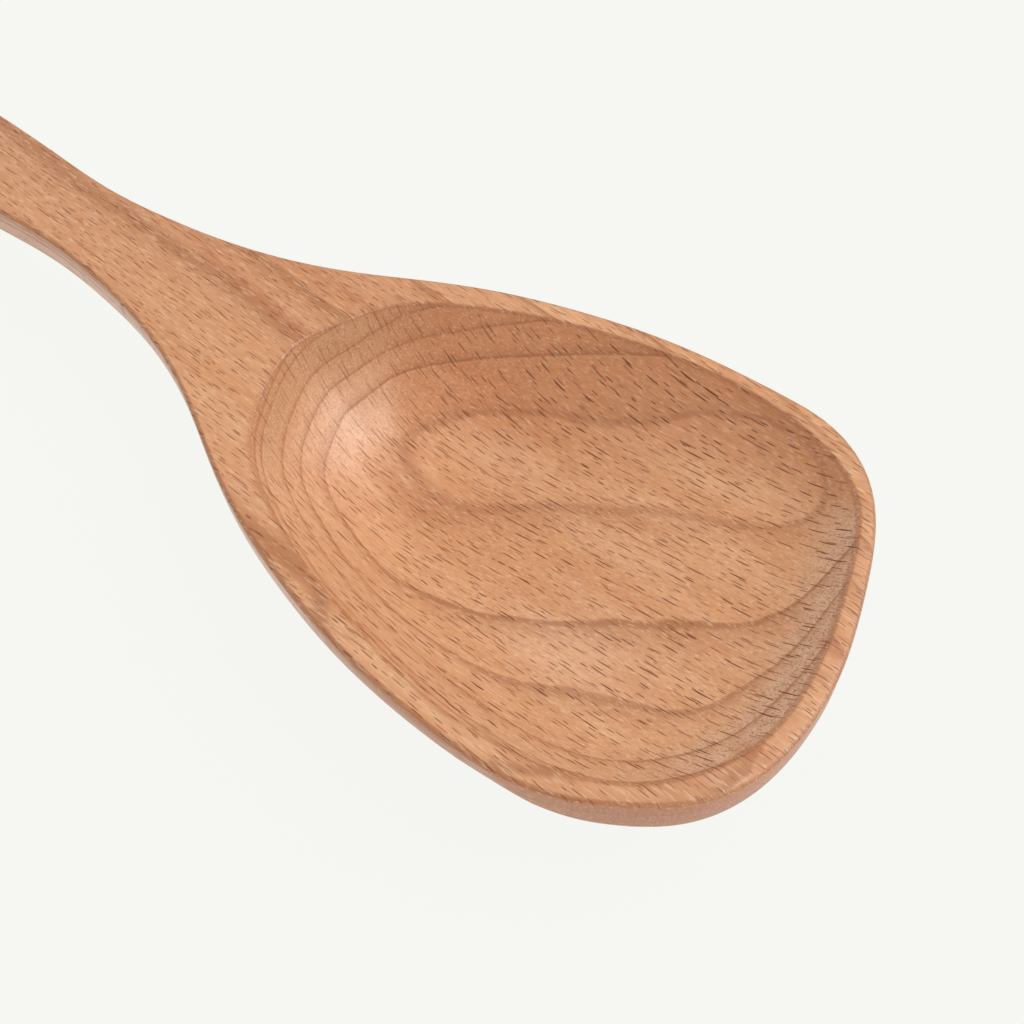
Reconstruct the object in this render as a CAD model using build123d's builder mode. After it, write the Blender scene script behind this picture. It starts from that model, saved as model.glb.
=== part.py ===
from build123d import *
import os

# Wooden scoop spoon cut from one solid beech board. A flat top face runs from the handle over
# the rim, a scooped bowl is sunk into it, and the underside is rounded. Millimetres, +X towards
# the front edge, +Z up, origin on the resting plane under the middle of the length and width.

# Board
length = 320.0
head_width = 76.6
board_thickness = 22.0

# Handle and neck
neck_width = 15.6
neck_from_front = 148.0
handle_end_width = 25.5
handle_thickness = 9.0

# Head
widest_from_front = 34.0
front_slant = 3.6
front_lip = 4.5

# Bowl
bowl_depth = 16.5
rear_rim = 50.5
front_rim = 3.0
side_rim = 2.6

# Side walls and the resting face
side_wall = 0.8
belly_overhang = 0.4
rest_cut = 0.25

# Rounded edge between the bowl and the top face
bowl_edge_radius = 0.5

overrun = 4.0

# Worked out from the sizes above
half_length = length / 2
half_head = head_width / 2
half_neck = neck_width / 2
half_end = handle_end_width / 2
neck_x = half_length - neck_from_front
round_x = half_end - half_length
widest_x = half_length - widest_from_front
flare_run = neck_from_front - widest_from_front
handle_run = length - neck_from_front
full_depth = board_thickness + rest_cut
bowl_rear_x = neck_x + rear_rim
bowl_front_x = half_length - front_rim
bowl_length = bowl_front_x - bowl_rear_x
half_bowl = half_head - side_rim

# Plan from the neck to the widest part: share of the run, share of the growth in half-width
flare_shares = [
    (0.0, 0.0),
    (0.1, 0.03),
    (0.2, 0.09),
    (0.3, 0.19),
    (0.4, 0.345),
    (0.5, 0.545),
    (0.6, 0.72),
    (0.7, 0.845),
    (0.8, 0.935),
    (0.9, 0.985),
    (1.0, 1.0),
]

# Plan from the neck back along the handle: share of the run, share of the growth in half-width
handle_shares = [(0.0, 0.0), (0.06, 0.06), (0.1, 0.16), (0.2, 0.35), (0.45, 0.68), (0.7, 0.9), (1.0, 1.0)]

# Keel from the neck to the widest part: share of the run, share of the growth in depth
keel_shares = [
    (0.0, 0.0),
    (0.2, 0.0),
    (0.3, 0.06),
    (0.4, 0.32),
    (0.5, 0.72),
    (0.6, 0.93),
    (0.7, 1.0),
    (0.8, 1.0),
    (0.9, 0.93),
    (1.0, 0.77),
]

# Keel in front of the widest part: share of that distance, share of the depth under the lip, and
# share of the half-width to which the belly has drawn in
nose_shares = [
    (0.0, 0.82, 1.0),
    (0.35, 0.61, 0.985),
    (0.7, 0.33, 0.94),
    (1.0, 0.0, 0.86),
    (1.15, -0.12, 0.83),
]

# Sections across the whole spoon, evenly spaced
section_count = 27

# Corners of the front: share of the widest distance back, share of the half-width
far_corner_shares = [
    (1.0, 1.0),
    (0.86, 1.0),
    (0.72, 0.99),
    (0.56, 0.945),
    (0.37, 0.82),
    (0.25, 0.665),
    (0.125, 0.385),
]
near_corner_shares = [
    (0.06, 0.48),
    (0.14, 0.62),
    (0.245, 0.765),
    (0.37, 0.86),
    (0.5, 0.925),
    (0.67, 0.975),
    (0.86, 1.0),
    (1.0, 1.0),
]

# Front edge: share of the slant back, share of the half-width
front_edge_shares = [(0.58, 0.185), (0.22, 0.0)]
front_most_share = -0.24

# Rim of the bowl: share of the bowl's length from the rear, share of its half-width, going round
# from the rear along the far side
rim_shares = [
    (0.0, 0.04),
    (0.03, 0.26),
    (0.07, 0.45),
    (0.15, 0.62),
    (0.32, 0.84),
    (0.5, 0.965),
    (0.64, 1.0),
    (0.78, 0.95),
    (0.87, 0.84),
    (0.93, 0.63),
    (0.96, 0.4),
    (0.985, 0.15),
    (1.0, -0.15),
    (0.99, -0.42),
    (0.95, -0.64),
    (0.89, -0.81),
    (0.8, -0.93),
    (0.64, -0.99),
    (0.45, -0.925),
    (0.27, -0.79),
    (0.12, -0.6),
    (0.045, -0.37),
    (0.01, -0.16),
]

# Levels of the bowl: share of its depth, then the share of its length where the rear and the
# front end lie, and the share of its half-width
level_shares = [
    (-0.10, -0.008, 1.02, 1.04),
    (0.0, 0.0, 1.0, 1.0),
    (0.12, 0.012, 0.975, 0.95),
    (0.25, 0.024, 0.94, 0.885),
    (0.38, 0.038, 0.875, 0.81),
    (0.52, 0.056, 0.755, 0.715),
    (0.65, 0.077, 0.64, 0.615),
    (0.78, 0.102, 0.53, 0.50),
    (0.89, 0.132, 0.435, 0.375),
    (0.96, 0.166, 0.365, 0.26),
    (1.0, 0.225, 0.285, 0.10),
]


def between(share, table, column=1):
    """Value of a share table between its rows."""
    low, high = table[0], table[1]
    for row in table[2:]:
        if share > high[0]:
            low, high = high, row
    return low[column] + (high[column] - low[column]) * (share - low[0]) / (high[0] - low[0])


def half_width_at(x):
    """Half-width of the plan outline, up to the widest part."""
    if x < neck_x:
        back_share = min((neck_x - x) / handle_run, 1)
        return half_neck + (half_end - half_neck) * between(back_share, handle_shares)
    return half_neck + (half_head - half_neck) * between((x - neck_x) / flare_run, flare_shares)


def belly_at(x):
    """Half-width and depth under the top face of the belly."""
    if x < neck_x:
        return half_width_at(x), handle_thickness
    if x < widest_x:
        depth_share = between((x - neck_x) / flare_run, keel_shares)
        return half_width_at(x), handle_thickness + (full_depth - handle_thickness) * depth_share
    nose_share = (x - widest_x) / widest_from_front
    depth = front_lip + (full_depth - front_lip) * between(nose_share, nose_shares)
    return half_head * between(nose_share, nose_shares, 2), depth


section_gap = (length + 2 * overrun) / (section_count - 1)
sections = [section_gap * step - half_length - overrun for step in range(section_count)]

with BuildPart() as spoon:
    # Board sawn to the plan outline
    with BuildSketch():
        with BuildLine():
            near_gap = section_gap / 2
            body_x = [x for x in sections if round_x + near_gap < x < widest_x - near_gap]
            body_edge = [(round_x, half_end)] + [(x, half_width_at(x)) for x in body_x]
            far_corner = [(half_length - widest_from_front * b, half_head * s) for b, s in far_corner_shares]
            front_edge = [(half_length - front_slant * b, half_head * s) for b, s in front_edge_shares]
            near_back = [(half_length - widest_from_front * b, s) for b, s in near_corner_shares]
            near_corner = [(x, -half_head * s) for x, s in near_back]
            front_most = (half_length, half_head * front_most_share)
            far_side = body_edge + far_corner + front_edge + [front_most]
            near_side = [front_most] + near_corner + [(x, -w) for x, w in body_edge[::-1]]
            far_line = Spline(*far_side, tangents=[(1, 0), (0, -1)])
            near_line = Spline(*near_side, tangents=[(0, -1), (-1, 0)])
            ThreePointArc(near_line @ 1, (-half_length, 0), far_line @ 0)
        make_face()
    extrude(amount=board_thickness)

    # Underside carved round, with a small flat left to rest on
    wall_z = board_thickness - side_wall
    above_z = board_thickness + overrun
    for x in sections:
        belly_half, belly_depth = belly_at(x)
        side = belly_half + belly_overhang
        with BuildSketch(Plane.YZ.offset(x)):
            with BuildLine():
                belly_drop = belly_depth - side_wall
                belly = EllipticalCenterArc((0, wall_z), side, belly_drop, start_angle=180, arc_size=180)
                Polyline(belly @ 1, (side, above_z), (-side, above_z), belly @ 0)
            make_face()
    loft(mode=Mode.INTERSECT)

    # Bowl scooped out of the top face, steep at the rear and rising slowly to the front
    for depth_share, rear_share, front_share, width_share in level_shares:
        level_rear = bowl_rear_x + bowl_length * rear_share
        level_length = bowl_length * (front_share - rear_share)
        level_half = half_bowl * width_share
        level_edge = [(level_rear + level_length * x, level_half * y) for x, y in rim_shares]
        with BuildSketch(Plane.XY.offset(board_thickness - bowl_depth * depth_share)):
            with BuildLine():
                Spline(*level_edge, periodic=True)
            make_face()
    loft(mode=Mode.SUBTRACT)
    top_face = faces().sort_by(Axis.Z)[-1]
    fillet(top_face.inner_wires()[0].edges(), radius=bowl_edge_radius)

spoon.part.label = "spoon"

os.makedirs("parts", exist_ok=True)
export_step(spoon.part, "parts/spoon.step")
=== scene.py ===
import math

import bmesh
import bpy
import numpy as np
from mathutils import Matrix, Vector


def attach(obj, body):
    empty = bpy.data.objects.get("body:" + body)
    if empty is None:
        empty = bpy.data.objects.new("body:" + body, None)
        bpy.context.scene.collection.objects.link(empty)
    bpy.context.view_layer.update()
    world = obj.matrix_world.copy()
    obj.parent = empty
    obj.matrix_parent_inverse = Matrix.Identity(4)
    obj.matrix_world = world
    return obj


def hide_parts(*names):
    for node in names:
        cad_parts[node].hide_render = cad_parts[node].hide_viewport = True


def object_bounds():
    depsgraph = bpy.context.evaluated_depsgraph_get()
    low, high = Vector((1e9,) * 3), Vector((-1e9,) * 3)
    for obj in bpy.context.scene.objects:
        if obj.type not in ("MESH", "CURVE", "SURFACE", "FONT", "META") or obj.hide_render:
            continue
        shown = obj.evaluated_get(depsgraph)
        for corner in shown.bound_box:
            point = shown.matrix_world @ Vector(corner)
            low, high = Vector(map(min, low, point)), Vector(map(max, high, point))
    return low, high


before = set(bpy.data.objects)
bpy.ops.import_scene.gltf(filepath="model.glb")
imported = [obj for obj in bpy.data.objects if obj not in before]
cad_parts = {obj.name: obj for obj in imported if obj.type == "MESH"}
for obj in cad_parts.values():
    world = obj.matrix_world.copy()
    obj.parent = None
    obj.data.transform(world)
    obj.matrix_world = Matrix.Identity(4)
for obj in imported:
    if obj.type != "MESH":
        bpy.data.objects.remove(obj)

cad_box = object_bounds()

# The spoon's outline: handle, neck and head are one piece of steamed beech, band-sawn from a flat
# board. The line runs from the handle's round end along the far side to the nearly straight
# front edge, and back along the near side, which flares a little earlier.
mm = 0.001

# It stays inside the solid's box by a small play
play = 0.05 * mm
rear_x = cad_box[0][0] + play
front_x = cad_box[1][0] - play
half_head = cad_box[1][1] - 2 * play
top = cad_box[1][2]
half_neck = 7.8 * mm
half_end = 12.7 * mm
neck_from_front = 148.0 * mm
widest_from_front = 34.0 * mm
front_slant = 3.6 * mm
near_lead = 0.9 * mm

neck_x = front_x - neck_from_front
widest_x = front_x - widest_from_front
end_x = rear_x + half_end
handle_run = neck_x - rear_x
flare_run = widest_x - neck_x

# Share of the run back along the handle, share of the growth in half-width
handle_shares = [(0.7, 0.9), (0.45, 0.68), (0.2, 0.35), (0.1, 0.16), (0.06, 0.06), (0.0, 0.0)]

# Share of the run from the neck to the widest part, share of the growth in half-width
flare_shares = [(0.1, 0.03), (0.2, 0.09), (0.3, 0.19), (0.4, 0.345), (0.5, 0.545),
                (0.6, 0.72), (0.7, 0.845), (0.8, 0.935), (0.9, 0.985)]

# Share of the widest part's distance from the front, share of the half-width
far_corner_shares = [(1.0, 1.0), (0.86, 1.0), (0.72, 0.99), (0.56, 0.945), (0.37, 0.82),
                     (0.25, 0.665), (0.125, 0.385)]
near_corner_shares = [(0.01, 0.34), (0.045, 0.48), (0.12, 0.62), (0.25, 0.75), (0.39, 0.84),
                      (0.52, 0.91), (0.68, 0.965), (0.86, 0.995), (1.0, 1.0)]

# Share of the slant behind the foremost point, share of the half-width
front_edge_shares = [(0.55, 0.185), (0.14, 0.0), (0.0, -0.2)]

# Steps of the outline and of the handle's end before they are spaced out, turns of each side, and
# the distance from turn to turn in mm: at places in mm along the spoon, and round the handle's end
outline_steps = 8000
end_steps = 60
half_turns = 500
step_places, step_sizes, end_step = [-140, 0, 20, 60], [3.2, 2.4, 0.8, 0.42], 0.8


def grown(low, high, share):
    """The size a share of the way from low to high."""
    return low + (high - low) * share


def side_points(lead):
    """One side from the handle's end to just behind the widest part, as (x, half-width).

    Half-width is the neck's plus a share of its growth. The flare's points move back by lead times
    the sine of half a turn over its run, so its two ends stay where they are.
    """
    points = [(end_x, half_end)]
    for run_share, growth_share in handle_shares:
        points.append((neck_x - handle_run * run_share, grown(half_neck, half_end, growth_share)))
    for run_share, growth_share in flare_shares:
        x = neck_x + flare_run * run_share - lead * math.sin(math.pi * run_share)
        points.append((x, grown(half_neck, half_head, growth_share)))
    return points


def smooth_line(points, count, closed=False):
    """A cubic line through the points p, at count even steps of the distance t summed along them.

    The second slopes m solve h0*m0 + 2*(h0+h1)*m1 + h1*m2 = 6*(rise1/h1 - rise0/h0) at each point,
    where h is the gap to the next. They are zero at the ends of an open line, and a closed one runs
    on round itself by a lap. Between two points at distances u and v, with gap u + v, the line is
    (m0*v^3 + m1*u^3) / (6*gap) + (p0/gap - m0*gap/6) * v + (p1/gap - m1*gap/6) * u.
    """
    lap = 3
    p = np.array(points, float)
    if closed:
        p = np.vstack([p[-lap:], p, p[: lap + 1]])
    h = np.linalg.norm(np.diff(p, axis=0), axis=1)
    t = np.concatenate([[0], np.cumsum(h)])
    n = len(p)
    sums = np.eye(n)
    bends = np.zeros((n, p.shape[1]))
    k = np.arange(1, n - 1)
    sums[k, k - 1], sums[k, k], sums[k, k + 1] = h[:-1], 2 * (h[:-1] + h[1:]), h[1:]
    bends[1:-1] = 6 * np.diff(np.diff(p, axis=0) / h[:, None], axis=0)
    m = np.linalg.solve(sums, bends)
    first, last = (t[lap], t[n - 1 - lap]) if closed else (t[0], t[-1])
    s = np.linspace(first, last, count)
    i = np.clip(np.searchsorted(t, s, side="right") - 1, 0, n - 2)
    u, gap = (s - t[i])[:, None], h[i][:, None]
    v = gap - u
    curve = (m[i] * v**3 + m[i + 1] * u**3) / (6 * gap)
    return curve + (p[i] / gap - m[i] * gap / 6) * v + (p[i + 1] / gap - m[i + 1] * gap / 6) * u


def even_steps(line, count):
    """Points along a line, count of them, spaced in proportion to the step length at their place.

    Each stretch of the line counts as its length over the mean of the step lengths at its ends, and
    the points divide the sum of those evenly.
    """
    x = line[:, 0]
    step = np.where(x < end_x, end_step, np.interp(x / mm, step_places, step_sizes)) * mm
    length = np.concatenate([[0], np.cumsum(np.linalg.norm(np.diff(line, axis=0), axis=1))])
    passed = np.concatenate([[0], np.cumsum(np.diff(length) * 2 / (step[1:] + step[:-1]))])
    s = np.interp(np.linspace(0, passed[-1], count), passed, length)
    return np.stack([np.interp(s, length, x), np.interp(s, length, line[:, 1])], axis=1)


far_corner = [(front_x - widest_from_front * b, half_head * s) for b, s in far_corner_shares]
front_edge = [(front_x - front_slant * b, half_head * s) for b, s in front_edge_shares]
near_corner = [(front_x - widest_from_front * b, -half_head * s) for b, s in near_corner_shares]
near_side = [(x, -w) for x, w in side_points(near_lead)[::-1]]
outline_points = side_points(-near_lead) + far_corner + front_edge + near_corner + near_side
outline = smooth_line(outline_points, outline_steps)
outline[:, 0] = np.minimum(outline[:, 0], front_x)
outline[:, 1] = np.clip(outline[:, 1], -cad_box[1][1], cad_box[1][1])

# The two sides from the handle's end to the tip, each with the same turns, and the edge made of both
tip = int(np.argmax(outline[:, 0]))
round_end = np.linspace(0, math.pi / 2, end_steps)[:-1]
end_arc = np.stack([rear_x + half_end * (1 - np.cos(round_end)), half_end * np.sin(round_end)], axis=1)
far = even_steps(np.vstack([end_arc, outline[: tip + 1]]), half_turns + 1)
near = even_steps(np.vstack([end_arc * [1, -1], outline[tip:][::-1]]), half_turns + 1)
edge = np.vstack([far, near[-2:0:-1]])
turns = len(edge)
along = np.roll(edge, -1, axis=0) - np.roll(edge, 1, axis=0)
along /= np.linalg.norm(along, axis=1)[:, None]
outward = np.stack([-along[:, 1], along[:, 0]], axis=1)

# The underside, carved round on a belt: half an ellipse across, from the side wall to the keel.
# The keel is straight along the handle, drops to the belly the spoon lies on, and rises to a
# thin lip at the front.
handle_depth = 9.0 * mm
front_lip = 5.2 * mm
edge_round = 0.8 * mm
keel_steps = 2000
under_steps = 34

# Share of the run from the neck to the widest part, share of the growth in depth
keel_shares = [(0.0, 0.0), (0.1, 0.0), (0.2, 0.005), (0.3, 0.06), (0.4, 0.32),
               (0.5, 0.72), (0.6, 0.93), (0.7, 1.0), (0.8, 1.0), (0.9, 0.93)]

# Share of the run from the widest part to the front, then share of the depth under the lip, and
# share of the half-width to which the belly has drawn in
nose_shares = [(0.0, 0.82), (0.35, 0.61), (0.7, 0.33), (1.0, 0.0)]
belly_shares = [(0.0, 1.0), (0.33, 0.985), (0.66, 0.94), (1.0, 0.86)]

# Places along the spoon, the straight side wall's height there, and the round below it, in mm
wall_places, wall_heights = [-160, 30, 70, 120, 150, 157, 160], [4.2, 4.2, 2.6, 1.8, 1.6, 2.6, 3.6]
round_places = [-160, -151, -140, 40, 70, 130, 145, 160]
round_sizes = [4.0, 2.6, 0.9, 0.9, 0.7, 0.7, 0.5, 0.5]

# Where the keel ends at the rear and at the front, and how softly the rings turn to it there
keel_rear, keel_rear_ease = -150.0 * mm, 5.0 * mm
keel_front, keel_front_ease = 126.0 * mm, 12.0 * mm

keel_points = [(rear_x, handle_depth), (rear_x / 2, handle_depth)]
keel_points += [(neck_x + flare_run * s, grown(handle_depth, top, d)) for s, d in keel_shares]
keel_points += [(widest_x + widest_from_front * s, grown(front_lip, top, d)) for s, d in nose_shares]
keel_line = smooth_line(keel_points, keel_steps)
nose_x = [widest_x + widest_from_front * s for s, w in belly_shares]
nose_half = [half_head * w for s, w in belly_shares]


def soft_max(a, b, ease):
    """The larger of two values, (a + b + sqrt((a - b)^2 + ease^2)) / 2, eased where they meet."""
    return 0.5 * (a + b + np.sqrt((a - b) ** 2 + ease**2))


def belly_width(x, side):
    """Half-width of the belly at x: the side's own up to the widest part, then drawn in a little."""
    body = side[(side[:, 0] > end_x) & (side[:, 0] < widest_x)]
    body = body[np.argsort(body[:, 0])]
    widths = np.concatenate([np.abs(body[:, 1]), nose_half])
    return np.interp(x, np.concatenate([body[:, 0], nose_x]), widths)


def under_depth(x, y, wall):
    """Depth of the underside below the top: wall + (keel - wall) * sqrt(1 - (y / half-width)^2)."""
    width = np.where(y >= 0, belly_width(x, far), belly_width(x, near))
    deep = np.interp(x, keel_line[:, 0], keel_line[:, 1])
    return wall + (deep - wall) * np.sqrt(np.clip(1 - (y / width) ** 2, 0, 1))


def along_edge(places, sizes):
    """A size that changes along the spoon, at each turn of the edge, from places and sizes in mm."""
    return np.interp(edge[:, 0], np.array(places) * mm, np.array(sizes) * mm)


keel_x = 0.5 * (far[:, 0] + near[:, 0])
keel_x = -soft_max(-keel_x, -keel_front, keel_front_ease)
keel_x = soft_max(keel_x, keel_rear, keel_rear_ease)
keel = np.stack([np.concatenate([keel_x, keel_x[-2:0:-1]]), np.zeros(turns)], axis=1)

# Rings go in from the edge to the keel by the cosine of a quarter turn. Each is lifted near the edge
# by a quarter round, kept under the eased top edge and never below the table.
wall = along_edge(wall_places, wall_heights)
under_round = along_edge(round_places, round_sizes)
edge_clearance = 1.05
wall_top = top - edge_clearance * edge_round
under_rings = []
for turned_in in np.linspace(0, math.pi / 2, under_steps):
    inward = keel + (edge - keel) * math.cos(turned_in)
    inset = np.clip(np.sum((edge - inward) * outward, axis=1), 0, None)
    short = np.clip(1 - inset / under_round, 0, 1)
    lift = under_round * (1 - np.sqrt(1 - short**2))
    z = top - under_depth(inward[:, 0], inward[:, 1], wall) + lift
    under_rings.append(np.column_stack([inward, np.clip(z, 0, wall_top)]))

# The bowl, scooped out of the flat top with a round cutter: steep at the rear, rising slowly to
# the front. Its edge is left crisp and the top face's outer edge is eased all round.
bowl_depth = 16.5 * mm
bowl_length = 94.5 * mm
front_rim = 3.0 * mm
side_rim = 2.6 * mm
centre_from_rear = 25.0 * mm
lip_ease = 0.14 * mm

bowl_rear_x = front_x - front_rim - bowl_length
bowl_centre = bowl_rear_x + centre_from_rear
half_bowl = half_head - side_rim

# Share of the bowl's length from the rear, share of its half-width, going round by the far side
rim_shares = [(0.0, 0.04), (0.03, 0.26), (0.065, 0.44), (0.105, 0.545), (0.15, 0.625), (0.23, 0.74),
              (0.32, 0.84), (0.5, 0.965), (0.64, 1.0), (0.78, 0.95), (0.87, 0.84), (0.93, 0.63),
              (0.96, 0.4), (0.985, 0.15), (1.0, -0.15), (0.99, -0.42), (0.95, -0.64), (0.89, -0.81),
              (0.8, -0.93), (0.64, -0.99), (0.45, -0.925), (0.27, -0.79), (0.12, -0.6),
              (0.045, -0.37), (0.01, -0.16)]

# Share of the depth, shares of the length where the rear and the front lie, share of the half-width
level_shares = [(0.0, 0.0, 1.0, 1.0), (0.12, 0.012, 0.975, 0.95), (0.25, 0.024, 0.94, 0.885),
                (0.38, 0.038, 0.875, 0.81), (0.52, 0.056, 0.755, 0.715), (0.65, 0.077, 0.64, 0.615),
                (0.78, 0.102, 0.53, 0.50), (0.89, 0.132, 0.435, 0.375), (0.96, 0.166, 0.365, 0.26)]

# Shares of the way out from the floor at which the rings lie, closer together near the rim, the last
# rings' distance past the bowl's edge in mm, the steps of the lines that the rings are read from, and
# the rings round the eased top edge
floor_shares, rim_ring_shares = np.linspace(0, 0.90, 30), np.linspace(0.92, 1.0, 9)
past_edge = [0.15, 0.3, 0.5, 0.8]
rim_steps = 3000
level_steps = 400
edge_steps = 7

# Each level is read at the angle of every turn of the edge, seen from the bowl's centre
rim_line = smooth_line(rim_shares, rim_steps, closed=True)[:-1]
turn_angle = np.arctan2(edge[:, 1], edge[:, 0] - bowl_centre)
level_rows = [np.zeros(turns + 1)]
for depth_share, rear_share, front_share, width_share in level_shares[::-1]:
    level_rear = bowl_rear_x + bowl_length * rear_share
    level_x = level_rear + bowl_length * (front_share - rear_share) * rim_line[:, 0] - bowl_centre
    level_y = half_bowl * width_share * rim_line[:, 1]
    angle = np.arctan2(level_y, level_x)
    order = np.argsort(angle)
    reach = np.interp(turn_angle, angle[order], np.hypot(level_x, level_y)[order], period=2 * math.pi)
    level_rows.append(np.concatenate([[math.sqrt(1 - depth_share) * bowl_length], reach]))
level_line = smooth_line(level_rows, level_steps)

# Each ring lies at depth * (1 - q^2), with its reach read between the levels. The lip's ease rounds
# the bowl's edge: depth becomes (depth + sqrt(depth^2 + ease^2)) / 2.
ring_shares = np.concatenate([floor_shares, rim_ring_shares, np.ones(len(past_edge))])
ring_past = np.concatenate([np.zeros(len(ring_shares) - len(past_edge)), past_edge]) * mm
bowl_rings = []
for q, past in zip(ring_shares, ring_past):
    place = np.clip(np.searchsorted(level_line[:, 0], q * bowl_length), 1, level_steps - 1)
    before, after = level_line[place - 1], level_line[place]
    t = (q * bowl_length - before[0]) / (after[0] - before[0])
    reach = before[1:] * (1 - t) + after[1:] * t + past
    depth = soft_max(bowl_depth * (1 - q * q) - past, 0, lip_ease)
    x = bowl_centre + reach * np.cos(turn_angle)
    y = reach * np.sin(turn_angle)
    bowl_rings.append(np.stack([x, y, np.full(turns, top - depth)], axis=1))
bowl_rings[0][:, :2] = [bowl_centre, 0]

edge_rings = []
for over in np.linspace(0, math.pi / 2, edge_steps):
    flat = edge - outward * edge_round * (1 - math.sin(over))
    edge_rings.append(np.column_stack([flat, np.full(turns, top - edge_round * (1 - math.cos(over)))]))


def closed_grid(name, rings):
    """A mesh of rings of points: point t of ring r joins point t + 1 and the same two of ring r + 1.

    Its doubled points, at the bowl's floor and along the keel, are merged.
    """
    merge_gap = 0.002 * mm
    points = np.array(rings)
    count, per_ring = points.shape[:2]
    r, t = np.meshgrid(np.arange(count - 1), np.arange(per_ring), indexing="ij")
    here, beside = r * per_ring + t, r * per_ring + (t + 1) % per_ring
    faces = np.stack([here, beside, beside + per_ring, here + per_ring], axis=-1).reshape(-1, 4)
    mesh = bpy.data.meshes.new(name)
    mesh.from_pydata(points.reshape(-1, 3).tolist(), [], faces.tolist())
    work = bmesh.new()
    work.from_mesh(mesh)
    bmesh.ops.remove_doubles(work, verts=work.verts, dist=merge_gap)
    bmesh.ops.recalc_face_normals(work, faces=work.faces)
    work.to_mesh(mesh)
    work.free()
    mesh.shade_smooth()
    return mesh


spoon_mesh = closed_grid("spoon_wood", bowl_rings + edge_rings + under_rings)
spoon = bpy.data.objects.new("spoon_wood", spoon_mesh)
bpy.context.scene.collection.objects.link(spoon)

# The wood: steamed beech under a thin coat of oil. Its growth rings lie nearly flat in the board,
# curve up to both sides and rise towards the front, so the bowl cuts them into nested loops. Rays
# stand across them and show as short dark dashes along the grain.
grain_turn = math.radians(3.72)

pale_wood = (0.77, 0.41, 0.215)
warm_wood = (0.68, 0.31, 0.135)
# The outer layers' tone, deepened as painted orange bounce light towards the far side
outer_layer_bounce_wood = (0.55, 0.225, 0.09)
# Paler end grain, lightened further on the front wall as painted light
end_grain_and_light_wood = (0.79, 0.54, 0.38)
rear_wood = (0.50, 0.265, 0.13)
# Painted light on the bowl's near wall
near_wall_light_wood = (0.60, 0.37, 0.235)
# Painted orange bounce light on the bowl's far wall
far_wall_bounce_wood = (0.60, 0.215, 0.075)
# Side walls: darker, redder painted shade at the front, and pale painted bounce light behind it and on
# the handle
side_shade_wood = (0.50, 0.18, 0.08)
side_bounce_wood = (0.93, 0.645, 0.525)
handle_side_bounce_wood = (0.79, 0.49, 0.375)
# Latewood's colour, also laid on the eased edges as painted shade
late_wood_and_edge_shade = (0.40, 0.15, 0.055)
red_wood = (0.50, 0.17, 0.07)
# Pale pink of the painted highlight on the rear wall and of the painted light on the front wall
highlight_pink_wood = (0.88, 0.62, 0.5)
hair_wood = (0.9, 0.62, 0.4)
ray_wood = (0.17, 0.036, 0.006)

wood = bpy.data.materials.new("oiled_beech")
wood.use_nodes = True
shader = wood.node_tree.nodes["Principled BSDF"]
link_wood = wood.node_tree.links.new


def add_node(kind, inputs, **settings):
    """A node with its settings made and its inputs set by name or place, a socket among them linked."""
    made = wood.node_tree.nodes.new("ShaderNode" + kind)
    for name, value in settings.items():
        setattr(made, name, value)
    for name, value in inputs.items():
        if isinstance(value, bpy.types.NodeSocket):
            link_wood(value, made.inputs[name])
        else:
            made.inputs[name].default_value = value
    return made


def calc(operation, *values):
    """One step of arithmetic on sockets and numbers."""
    return add_node("Math", dict(enumerate(values)), operation=operation).outputs[0]


def vector_calc(operation, *values, output="Vector"):
    """One step of arithmetic on vectors, with the number it gives where output is Value."""
    return add_node("VectorMath", dict(enumerate(values)), operation=operation).outputs[output]


def fade(value, low, high, start=0.0, end=1.0):
    """From start to end as the value goes from low to high, with soft ends."""
    inputs = {"Value": value, "From Min": low, "From Max": high, "To Min": start, "To Max": end}
    return add_node("MapRange", inputs, interpolation_type="SMOOTHSTEP").outputs[0]


def counted(vector, *spans):
    """A vector in mm counted in spans of the given length, width and height in mm."""
    return vector_calc("MULTIPLY", vector, tuple(1 / span for span in spans))


def noise(length, width, height, detail=2.0):
    """Cloudy variation from 0 to 1 about 0.5, with clouds of the given size in mm."""
    inputs = {"Vector": counted(grain, length, width, height), "Scale": 1.0, "Detail": detail}
    return add_node("TexNoise", inputs).outputs[0]


def around(middle, reach, strength):
    """The strength at a point in grain coordinates, fading to nothing at its reach in mm."""
    off = counted(vector_calc("SUBTRACT", grain, middle), *reach)
    return fade(vector_calc("LENGTH", off, output="Value"), 0.0, 1.0, strength, 0.0)


def tint(share, under, over):
    """The over colour laid on the under colour by a share."""
    node = add_node("Mix", {0: share}, data_type="RGBA")
    for name, value in ((6, under), (7, over)):
        if isinstance(value, bpy.types.NodeSocket):
            link_wood(value, node.inputs[name])
        else:
            node.inputs[name].default_value = (*value, 1)
    return node.outputs[2]


# Grain coordinates in mm: along the fibres, across them and up, and the way the surface faces
surface = add_node("TexCoord", {}).outputs
to_mm = (1 / mm, 1 / mm, 1 / mm)
turned = {"Vector": surface["Object"], "Rotation": (0, 0, grain_turn), "Scale": to_mm}
grain = add_node("Mapping", turned).outputs[0]
grain_x, grain_y, grain_z = add_node("SeparateXYZ", {0: grain}).outputs
_, facing_y, facing_z = add_node("SeparateXYZ", {0: surface["Normal"]}).outputs
fibre_way = (math.cos(grain_turn), -math.sin(grain_turn), 0)
cut = vector_calc("DOT_PRODUCT", surface["Normal"], fibre_way, output="Value")

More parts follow.
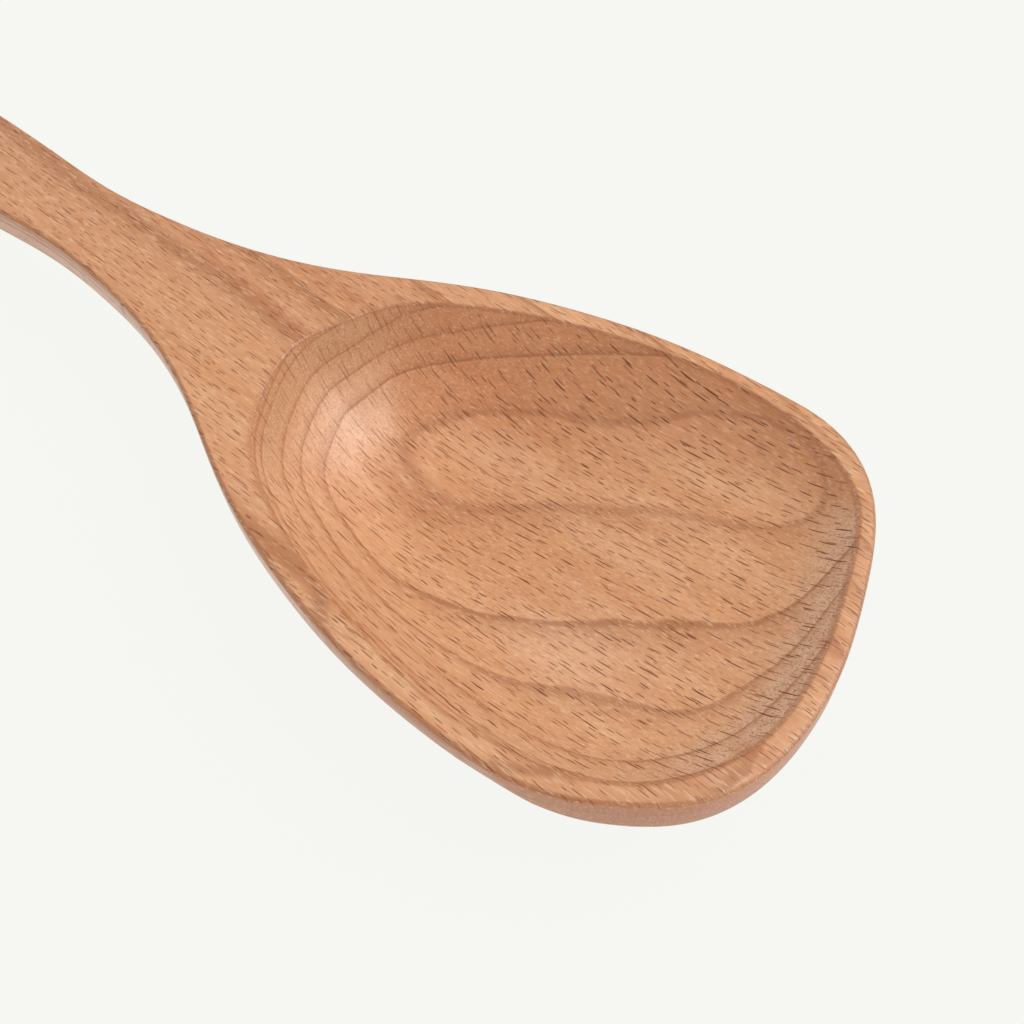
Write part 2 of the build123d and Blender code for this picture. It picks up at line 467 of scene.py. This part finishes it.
# Height of a growth ring's layer at rest: z less the curve to the sides and the rise to the front,
# with the layers crowding round one of them towards the front
ring_middle, ring_curve = -9.0, 0.0048
rise_start, rise_ease, rise_slope = 106.0, 8.0, 0.115
steady_ring = 9.2
crowd_from, crowd_to, crowd_above, crowd_below = 95.0, 128.0, 1.5, 1.25
across = calc("SUBTRACT", grain_y, ring_middle)
curved = calc("MULTIPLY", calc("MULTIPLY", across, across), ring_curve)
past_start = calc("SMOOTH_MAX", calc("SUBTRACT", grain_x, rise_start), 0.0, rise_ease)
risen = calc("MULTIPLY", past_start, rise_slope)
off_steady = calc("SUBTRACT", calc("SUBTRACT", calc("SUBTRACT", grain_z, curved), risen), steady_ring)
crowded_above = fade(grain_x, crowd_from, crowd_to, 1.0, crowd_above)
crowded_below = fade(grain_x, crowd_from, crowd_to, 1.0, crowd_below)
above_steady = calc("MULTIPLY", calc("MAXIMUM", off_steady, 0.0), crowded_above)
below_steady = calc("MULTIPLY", calc("MINIMUM", off_steady, 0.0), crowded_below)
ring = calc("ADD", calc("ADD", above_steady, below_steady), steady_ring)

# Swells lower or lift the layers round a point: its place, reach and height. Waves run all through
# them: length, width and height of a cloud, and how far it moves a layer.
swells = [((106.0, 14.0, 8.0), (26, 24, 18), -1.0), ((135.0, -10.0, 11.0), (28, 12, 9), 1.2)]
waves = [((45, 13, 13), 0.7), ((16, 4, 4), 0.3)]
for middle, reach, height in swells:
    ring = calc("ADD", ring, around(middle, reach, height))
for cloud, height in waves:
    ring = calc("MULTIPLY_ADD", calc("SUBTRACT", noise(*cloud), 0.5), height, ring)

# Latewood: crisp where a ring ends below, fading upwards through the next; height, blur below, fade
# above, darkness. A thin core keeps the full darkness, and the rest starts from a share of it.
latewood = [(4.4, 0.35, 1.7, 0.65), (9.2, 0.14, 1.7, 1.0), (12.5, 0.12, 1.2, 0.85),
            (15.7, 0.12, 1.1, 0.9), (19.5, 0.12, 1.2, 0.9), (20.8, 0.4, 0.9, 0.9)]
core_from, core_to, above_share = 0.1, 0.5, 0.5
dark = 0.0
for height, blur, reach, strength in latewood:
    core = fade(ring, height + core_from, height + core_to, strength, 0.0)
    above = fade(ring, height, height + reach, above_share * strength, 0.0)
    line = calc("MULTIPLY", fade(ring, height - blur, height), calc("MAXIMUM", core, above))
    dark = calc("MAXIMUM", dark, line)


def rays(cell, size, keep):
    """Mask of the rays: thin sheets along the grain, one to each cell of the board, seen as dashes.

    It is 1 near the cell's own point and fades to 0 at size from it, in mm, in the share of the
    cells that keep says. Chance divides each one's length by 1.8 to 0.75 and weakens it down to 0.6.
    Noise moves the rows from side to side.
    """
    shortest, longest, weakest = 1.8, 0.75, 0.6
    wander, scatter, soft_edge = 0.7, 0.8, 0.7
    row_wave = noise(9, 5, 9)
    waved = calc("MULTIPLY", calc("SUBTRACT", row_wave, 0.5), wander)
    moved = vector_calc("ADD", grain, add_node("CombineXYZ", {"Y": waved}).outputs[0])
    in_cells = counted(moved, *cell)
    cells = add_node("TexVoronoi", {"Vector": in_cells, "Scale": 1.0, "Randomness": scatter}).outputs
    chance = add_node("SeparateColor", {0: cells["Color"]}).outputs
    off = vector_calc("SUBTRACT", in_cells, cells["Position"])
    off = vector_calc("MULTIPLY", off, tuple(c / s for c, s in zip(cell, size)))
    length = fade(chance[1], 0.0, 1.0, shortest, longest)
    off = vector_calc("MULTIPLY", off, add_node("CombineXYZ", {0: length, 1: 1.0, 2: 1.0}).outputs[0])
    sheet = fade(vector_calc("LENGTH", off, output="Value"), 1.0, soft_edge)
    kept = calc("LESS_THAN", chance[0], keep)
    return calc("MULTIPLY", sheet, calc("MULTIPLY", kept, fade(chance[2], 0.0, 1.0, weakest, 1.0)))


# Rays are weaker on the side walls and where the bowl's rear wall cuts across the fibres
long_rays = rays(cell=(4.4, 1.3, 5.4), size=(1.9, 0.12, 2.9), keep=0.96)
short_rays = rays(cell=(3.2, 1.2, 4.2), size=(1.1, 0.1, 2.3), keep=0.93)
short_strength, side_strength, rear_strength = 0.9, 0.25, 0.6
flat_share = calc("ABSOLUTE", facing_z)
flecks = calc("MAXIMUM", long_rays, calc("MULTIPLY", short_rays, short_strength))
flecks = calc("MULTIPLY", flecks, fade(flat_share, 0.05, 0.6, side_strength, 1.0))
flecks = calc("MULTIPLY", flecks, fade(cut, 0.2, 0.6, 1.0, rear_strength))

# End grain shows where the surface cuts across the fibres: paler, greyer and speckled, most of all at
# the front, where part of the paleness is painted light. The bowl's rear wall is browner, more so
# higher up.
end_paling, front_light_paling = 0.35, 0.4
specks_all_over, end_specks, front_specks = 0.15, 0.2, 0.7
side = fade(flat_share, 0.4, 0.05)
inside = calc("SUBTRACT", 1.0, side)
end_grain = fade(calc("ABSOLUTE", cut), 0.3, 0.75)
front_grain = fade(cut, -0.3, -0.7)
end_grain_and_light_share = calc("MULTIPLY_ADD", front_grain, front_light_paling, calc("MULTIPLY", end_grain, end_paling))
speck_strength = calc("MULTIPLY_ADD", end_grain, end_specks, specks_all_over)
speck_strength = calc("MULTIPLY_ADD", front_grain, front_specks, speck_strength)
rear_share = calc("MULTIPLY", fade(cut, 0.3, 0.7, 0.0, 0.8), fade(grain_z, 11.0, 19.0, 0.1, 1.0))


def streak_at(slope, middle, half_width, start, end):
    """A streak along y = middle - slope * x on the top, fading in from start to end in x."""
    core = 0.2
    off = calc("ABSOLUTE", calc("MULTIPLY_ADD", grain_x, slope, calc("SUBTRACT", grain_y, middle)))
    return calc("MULTIPLY", fade(off, core, half_width, 1.0, 0.0), fade(grain_x, start, end))


# Two reddish streaks cross the neck, where a ring comes up to the flat top
neck_streak = streak_at(slope=0.123, middle=13.5, half_width=2.4, start=12.0, end=40.0)
far_streak = streak_at(slope=0.045, middle=20.6, half_width=1.5, start=44.0, end=56.0)
streaks = calc("MULTIPLY", calc("MAXIMUM", neck_streak, far_streak), fade(grain_z, 19.0, 21.9))

# Painted shade darkens the eased edges, just under the flat top
under_top, above_wall = fade(grain_z, 21.999, 21.96), fade(grain_z, 21.2, 21.7)
edge_shade = calc("MULTIPLY", under_top, above_wall)

# Variation along the fibres, from broad to fine: length, width and height in mm
board_tone = noise(75, 4.5, 6, 3.0)
thread = noise(13, 0.8, 1.2)
fibre = noise(3.5, 0.3, 0.3)
hair = noise(2.2, 0.26, 0.26)
speck = noise(0.5, 0.3, 0.3)

# Painted light on the side walls: redder, darker painted shade round the front, pale painted bounce
# light along the rear of the head, and between the two on the handle
side_light_colour = tint(fade(grain_x, 120.0, 80.0), side_shade_wood, side_bounce_wood)
side_light_colour = tint(fade(grain_x, 40.0, 10.0), side_light_colour, handle_side_bounce_wood)

# Browner layers towards the far side, partly painted orange bounce light, and a little back along the
# handle
far_layers_and_bounce = calc("MULTIPLY", fade(ring, 12.0, 21.0), fade(grain_y, 4.0, 18.0, 0.15, 0.75))
handle_share = fade(grain_x, 60.0, 10.0, 0.0, 0.22)

# Painted light by facing: paler painted light on the bowl's near wall, which faces the far side,
# painted orange bounce light on its far wall, and painted light on the side walls, full at the front
near_wall_light_share = fade(facing_y, 0.25, 0.75, 0.0, 0.35)
far_wall_bounce_share = fade(facing_y, -0.2, -0.7, 0.0, 0.5)
side_light_share = fade(grain_x, 138.0, 150.0, 0.75, 1.0)

# A painted highlight low on the rear wall, a dark patch at the loop's end, and a pale pink of
# painted light towards the front
rear_highlight_patch = around(middle=(79.0, 1.0, 11.0), reach=(15.0, 14.0, 9.0), strength=0.25)
loop_patch = around(middle=(91.0, 2.0, 7.0), reach=(9.0, 7.0, 6.0), strength=0.35)
front_light_patch = around(middle=(134.0, -6.0, 9.0), reach=(22.0, 13.0, 8.0), strength=0.25)

# Threads, fibres, specks and hairs show where their noise is strong enough
thread_share = fade(thread, 0.35, 0.7, 0.0, 0.2)
fibre_share = fade(fibre, 0.48, 0.72, 0.0, 0.38)
hair_share = fade(hair, 0.5, 0.75, 0.0, 0.42)
speck_share = calc("MULTIPLY", fade(speck, 0.5, 0.3), speck_strength)

# Share and colour of each tint, laid one on the other; the far layers, front end grain, near and far
# walls, side walls, pale patches and edges carry painted light and shade
ring_strength, streak_strength, edge_shade_strength, ray_strength = 0.85, 0.5, 0.6, 0.95
tints = [
    (far_layers_and_bounce, outer_layer_bounce_wood),
    (handle_share, late_wood_and_edge_shade),
    (calc("MULTIPLY", end_grain_and_light_share, inside), end_grain_and_light_wood),
    (calc("MULTIPLY", rear_share, inside), rear_wood),
    (calc("MULTIPLY", near_wall_light_share, inside), near_wall_light_wood),
    (calc("MULTIPLY", far_wall_bounce_share, inside), far_wall_bounce_wood),
    (calc("MULTIPLY", side_light_share, side), side_light_colour),
    (calc("MULTIPLY", dark, ring_strength), late_wood_and_edge_shade),
    (calc("MULTIPLY", streaks, streak_strength), red_wood),
    (thread_share, late_wood_and_edge_shade),
    (rear_highlight_patch, highlight_pink_wood),
    (loop_patch, late_wood_and_edge_shade),
    (front_light_patch, highlight_pink_wood),
    (calc("MULTIPLY", edge_shade, edge_shade_strength), late_wood_and_edge_shade),
    (fibre_share, late_wood_and_edge_shade),
    (speck_share, late_wood_and_edge_shade),
    (hair_share, hair_wood),
    (calc("MULTIPLY", flecks, ray_strength), ray_wood),
]
colour = tint(fade(board_tone, 0.78, 0.25), pale_wood, warm_wood)
for share, over in tints:
    colour = tint(share, colour, over)
link_wood(colour, shader.inputs["Base Color"])

# Satin oil, duller on fibres and rays, with the rays sunk a little below the fibres
satin, fibre_dulling, ray_dulling = 0.3, 0.14, 0.15
ray_sink, speck_rise, relief_depth = -0.8, 0.5, 0.04 * mm
gloss = calc("MULTIPLY_ADD", fibre, fibre_dulling, satin)
link_wood(calc("MULTIPLY_ADD", flecks, ray_dulling, gloss), shader.inputs["Roughness"])
shader.inputs["Specular IOR Level"].default_value = 0.62
relief = calc("ADD", fibre, calc("MULTIPLY", speck, speck_rise))
relief = calc("MULTIPLY_ADD", flecks, ray_sink, relief)
bump = add_node("Bump", {"Height": relief, "Strength": 0.5, "Distance": relief_depth})
link_wood(bump.outputs[0], shader.inputs["Normal"])
spoon_mesh.materials.append(wood)

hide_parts("spoon")
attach(spoon, "root")

# The studio: a pale paper floor that keeps the spoon's faint shadow, an even pale room and one very
# broad soft lamp high on the far right. The camera sees floor and room in the paper's own colour.
room_light = 0.61
room_colour = (1, 0.99, 0.98, 1)
lamp_light = 0.60
lamp_angle = math.radians(55)
lamp_direction = (0.5, 0.42, 0.78)
paper_colour = (0.92, 0.93, 0.89, 1)
shadow_share = 0.03
floor_half = 3.0

room = bpy.data.worlds.new("studio")
bpy.context.scene.world = room
room.use_nodes = True
room_nodes, link_room = room.node_tree.nodes, room.node_tree.links.new
room_nodes["Background"].inputs["Color"].default_value = room_colour
room_nodes["Background"].inputs["Strength"].default_value = room_light
seen_room = room_nodes.new("ShaderNodeBackground")
seen_room.inputs["Color"].default_value = paper_colour
room_blend = room_nodes.new("ShaderNodeMixShader")
link_room(room_nodes.new("ShaderNodeLightPath").outputs["Is Camera Ray"], room_blend.inputs[0])
link_room(room_nodes["Background"].outputs[0], room_blend.inputs[1])
link_room(seen_room.outputs[0], room_blend.inputs[2])
link_room(room_blend.outputs[0], room_nodes["World Output"].inputs["Surface"])

lamp_data = bpy.data.lights.new("soft_lamp", "SUN")
lamp_data.energy = lamp_light * math.pi
lamp_data.angle = lamp_angle
lamp = bpy.data.objects.new("soft_lamp", lamp_data)
lamp.rotation_euler = (-Vector(lamp_direction)).to_track_quat("-Z", "Y").to_euler()
bpy.context.scene.collection.objects.link(lamp)

floor_mesh = bpy.data.meshes.new("paper_floor")
corners = [(floor_half * x, floor_half * y, 0) for x, y in ((-1, -1), (1, -1), (1, 1), (-1, 1))]
floor_mesh.from_pydata(corners, [], [(0, 1, 2, 3)])
floor = bpy.data.objects.new("paper_floor", floor_mesh)
bpy.context.scene.collection.objects.link(floor)

paper = bpy.data.materials.new("pale_paper")
paper.use_nodes = True
paper_nodes, link_paper = paper.node_tree.nodes, paper.node_tree.links.new
sheet = paper_nodes["Principled BSDF"]
sheet.inputs["Base Color"].default_value = paper_colour
sheet.inputs["Roughness"].default_value = 0.9
glow = paper_nodes.new("ShaderNodeEmission")
glow.inputs["Color"].default_value = paper_colour
seen = paper_nodes.new("ShaderNodeLightPath").outputs
steps = [("MAXIMUM", seen["Is Glossy Ray"]), ("MAXIMUM", seen["Is Transmission Ray"]),
         ("MULTIPLY", 1 - shadow_share)]
glow_share = seen["Is Camera Ray"]
for operation, value in steps:
    step = paper_nodes.new("ShaderNodeMath")
    step.operation = operation
    link_paper(glow_share, step.inputs[0])
    if isinstance(value, bpy.types.NodeSocket):
        link_paper(value, step.inputs[1])
    else:
        step.inputs[1].default_value = value
    glow_share = step.outputs[0]
blend = paper_nodes.new("ShaderNodeMixShader")
link_paper(glow_share, blend.inputs[0])
link_paper(sheet.outputs[0], blend.inputs[1])
link_paper(glow.outputs[0], blend.inputs[2])
link_paper(blend.outputs[0], paper_nodes["Material Output"].inputs["Surface"])
floor_mesh.materials.append(paper)

# The camera: close over the front of the head, at the photograph's angle, upright but for a hair.
# It stands back from the point it looks at by its distance, and its lens takes in the same view.
azimuth = math.radians(37.473)
elevation = math.radians(54.0)
roll = math.radians(0.127)
look_at = np.array([109.51, -4.98, 22.0]) * mm
distance = 177.39 * mm

level = math.cos(elevation)
back = np.array([math.sin(azimuth) * level, -math.cos(azimuth) * level, math.sin(elevation)])
right = np.array([math.cos(azimuth), math.sin(azimuth), 0.0])
up = np.cross(back, right)
right, up = right * math.cos(roll) + up * math.sin(roll), up * math.cos(roll) - right * math.sin(roll)
stand = np.eye(4)
stand[:3] = np.column_stack([right, up, back, look_at + back * distance])
lens = bpy.data.cameras.new("camera")
lens.sensor_width = 36.0
lens.lens = 43.78
lens.clip_start = 0.01
camera = bpy.data.objects.new("camera", lens)
camera.matrix_world = Matrix(stand.tolist())
bpy.context.scene.collection.objects.link(camera)
bpy.context.scene.camera = camera

bpy.context.scene.view_settings.view_transform = "Standard"
